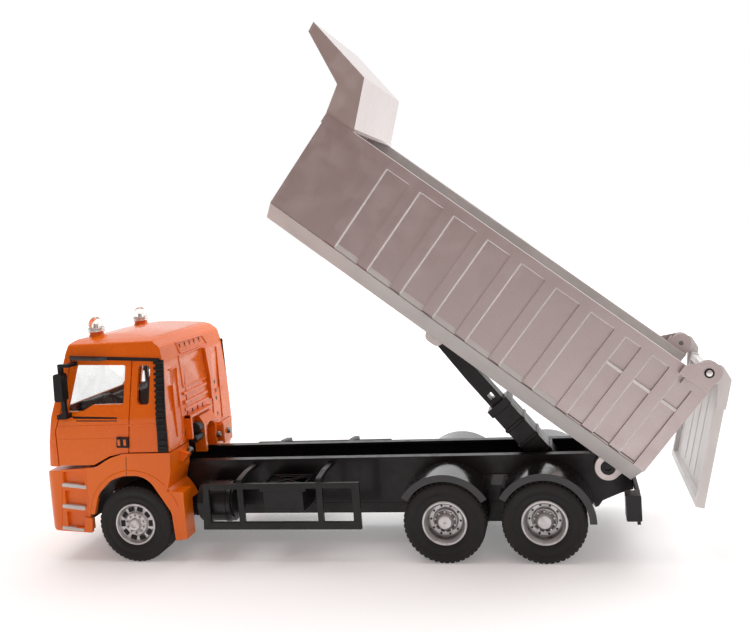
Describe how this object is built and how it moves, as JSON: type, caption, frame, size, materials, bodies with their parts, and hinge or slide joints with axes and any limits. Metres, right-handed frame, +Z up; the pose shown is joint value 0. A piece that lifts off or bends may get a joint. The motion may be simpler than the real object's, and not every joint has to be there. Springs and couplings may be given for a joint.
{
  "type": "toy dump truck",
  "caption": "Three-axle toy tipper: raised open bed with cab shield and swinging tailgate, telescopic hoist, rolling wheels, opening cab doors.",
  "frame": {"origin": "on the ground, under the middle of the bounding box with the bed raised", "axes": "+X towards the cab's front, +Y the truck's left side, +Z up"},
  "size_m": [0.273, 0.0824, 0.2078],
  "materials": {
    "cab_paint": "gloss orange enamel",
    "cab_plastic": "gloss orange",
    "bed_paint": "silver metallic paint",
    "chassis_black": "satin black",
    "trim_black": "matt black",
    "cabin_black": "fine grain black",
    "tyre_rubber": "moulded rubber",
    "rim_silver": "silver paint",
    "steel": "drawn bar",
    "glazing": "clear",
    "lamp_clear": "clear, moulded",
    "beacon_clear": "clear dome on a silver collar"
  },
  "bodies": {
    "chassis": {"air_tank_left": "chassis_black", "battery_box_left": "chassis_black", "beacon_left": "beacon_clear", "beacon_right": "beacon_clear", "bumper": "cab_plastic", "cab_shell": "cab_paint", "cabin_tub": "cabin_black", "chassis_frame": "chassis_black", "fenders_left": "chassis_black", "fenders_right": "chassis_black", "fuel_tank_right": "chassis_black", "grille": "trim_black", "headlamp_left": "lamp_clear", "headlamp_right": "lamp_clear", "hoist_foot_pin": "steel", "intake_strip_left": "trim_black", "intake_strip_right": "trim_black", "quarter_panes": "glazing", "seats": "cabin_black", "side_guard_left": "chassis_black", "side_guard_right": "chassis_black", "steering_wheel": "cabin_black", "tail_bar": "chassis_black", "tray_screws": "steel", "underframe": "chassis_black", "wheel_arch_left": "cab_plastic", "wheel_arch_right": "cab_plastic", "windscreen": "glazing"},
    "front_wheels": {"axle_front": "steel", "rim_front_left": "rim_silver", "rim_front_right": "rim_silver", "tyre_front_left": "tyre_rubber", "tyre_front_right": "tyre_rubber"},
    "middle_wheels": {"axle_mid": "steel", "rim_mid_left": "rim_silver", "rim_mid_right": "rim_silver", "tyre_mid_left": "tyre_rubber", "tyre_mid_right": "tyre_rubber"},
    "rear_wheels": {"axle_rear": "steel", "rim_rear_left": "rim_silver", "rim_rear_right": "rim_silver", "tyre_rear_left": "tyre_rubber", "tyre_rear_right": "tyre_rubber"},
    "bed": {"bed_floor": "bed_paint", "bed_side_left": "bed_paint", "bed_side_right": "bed_paint", "bed_headboard": "bed_paint", "cab_shield": "bed_paint", "hinge_bracket": "bed_paint", "gate_pins": "steel", "hoist_head_pin": "steel"},
    "tailgate": {"tailgate": "bed_paint"},
    "left_door": {"door_left": "cab_paint", "door_glass_left": "glazing", "mirror_left": "trim_black"},
    "right_door": {"door_right": "cab_paint", "door_glass_right": "glazing", "mirror_right": "trim_black"},
    "hoist_sleeve": {"hoist_sleeve": "chassis_black"},
    "hoist_ram": {"hoist_ram": "chassis_black"}
  },
  "joints": [
    {"name": "bed_tilt", "type": "hinge", "parent": "chassis", "child": "bed", "pos_m": [-0.09381, 0, 0.0322], "axis": [0, -1, 0], "range_deg": [-38.8, 0]},
    {"name": "tailgate_swing", "type": "hinge", "parent": "bed", "child": "tailgate", "pos_m": [-0.12892, 0, 0.07172], "axis": [0, 1, 0], "range_deg": [-26.5, 33.5]},
    {"name": "left_door_swing", "type": "hinge", "parent": "chassis", "child": "left_door", "pos_m": [0.12869, 0.0348, 0.06], "axis": [0, 0, -1], "range_deg": [0, 60]},
    {"name": "right_door_swing", "type": "hinge", "parent": "chassis", "child": "right_door", "pos_m": [0.12869, -0.0348, 0.06], "axis": [0, 0, 1], "range_deg": [0, 60]},
    {"name": "front_axle_spin", "type": "hinge", "parent": "chassis", "child": "front_wheels", "pos_m": [0.09709, 0, 0.016], "axis": [0, 1, 0], "continuous": true},
    {"name": "middle_axle_spin", "type": "hinge", "parent": "chassis", "child": "middle_wheels", "pos_m": [-0.03131, 0, 0.016], "axis": [0, 1, 0], "continuous": true},
    {"name": "rear_axle_spin", "type": "hinge", "parent": "chassis", "child": "rear_wheels", "pos_m": [-0.06911, 0, 0.016], "axis": [0, 1, 0], "continuous": true},
    {"name": "hoist_swing", "type": "hinge", "parent": "chassis", "child": "hoist_sleeve", "pos_m": [-0.07781, 0, 0.0235], "axis": [0, -1, 0], "range_deg": [-43.9, 0]},
    {"name": "hoist_extend", "type": "slide", "parent": "hoist_sleeve", "child": "hoist_ram", "axis": [0.6278, 0, 0.7784], "range_m": [-0.0103, 0]}
  ],
  "couplings": [
    {"joint": "hoist_swing", "follows": "bed_tilt", "ratio": 1.1295},
    {"joint": "hoist_extend", "follows": "bed_tilt", "m_per_rad": 0.015123}
  ]
}
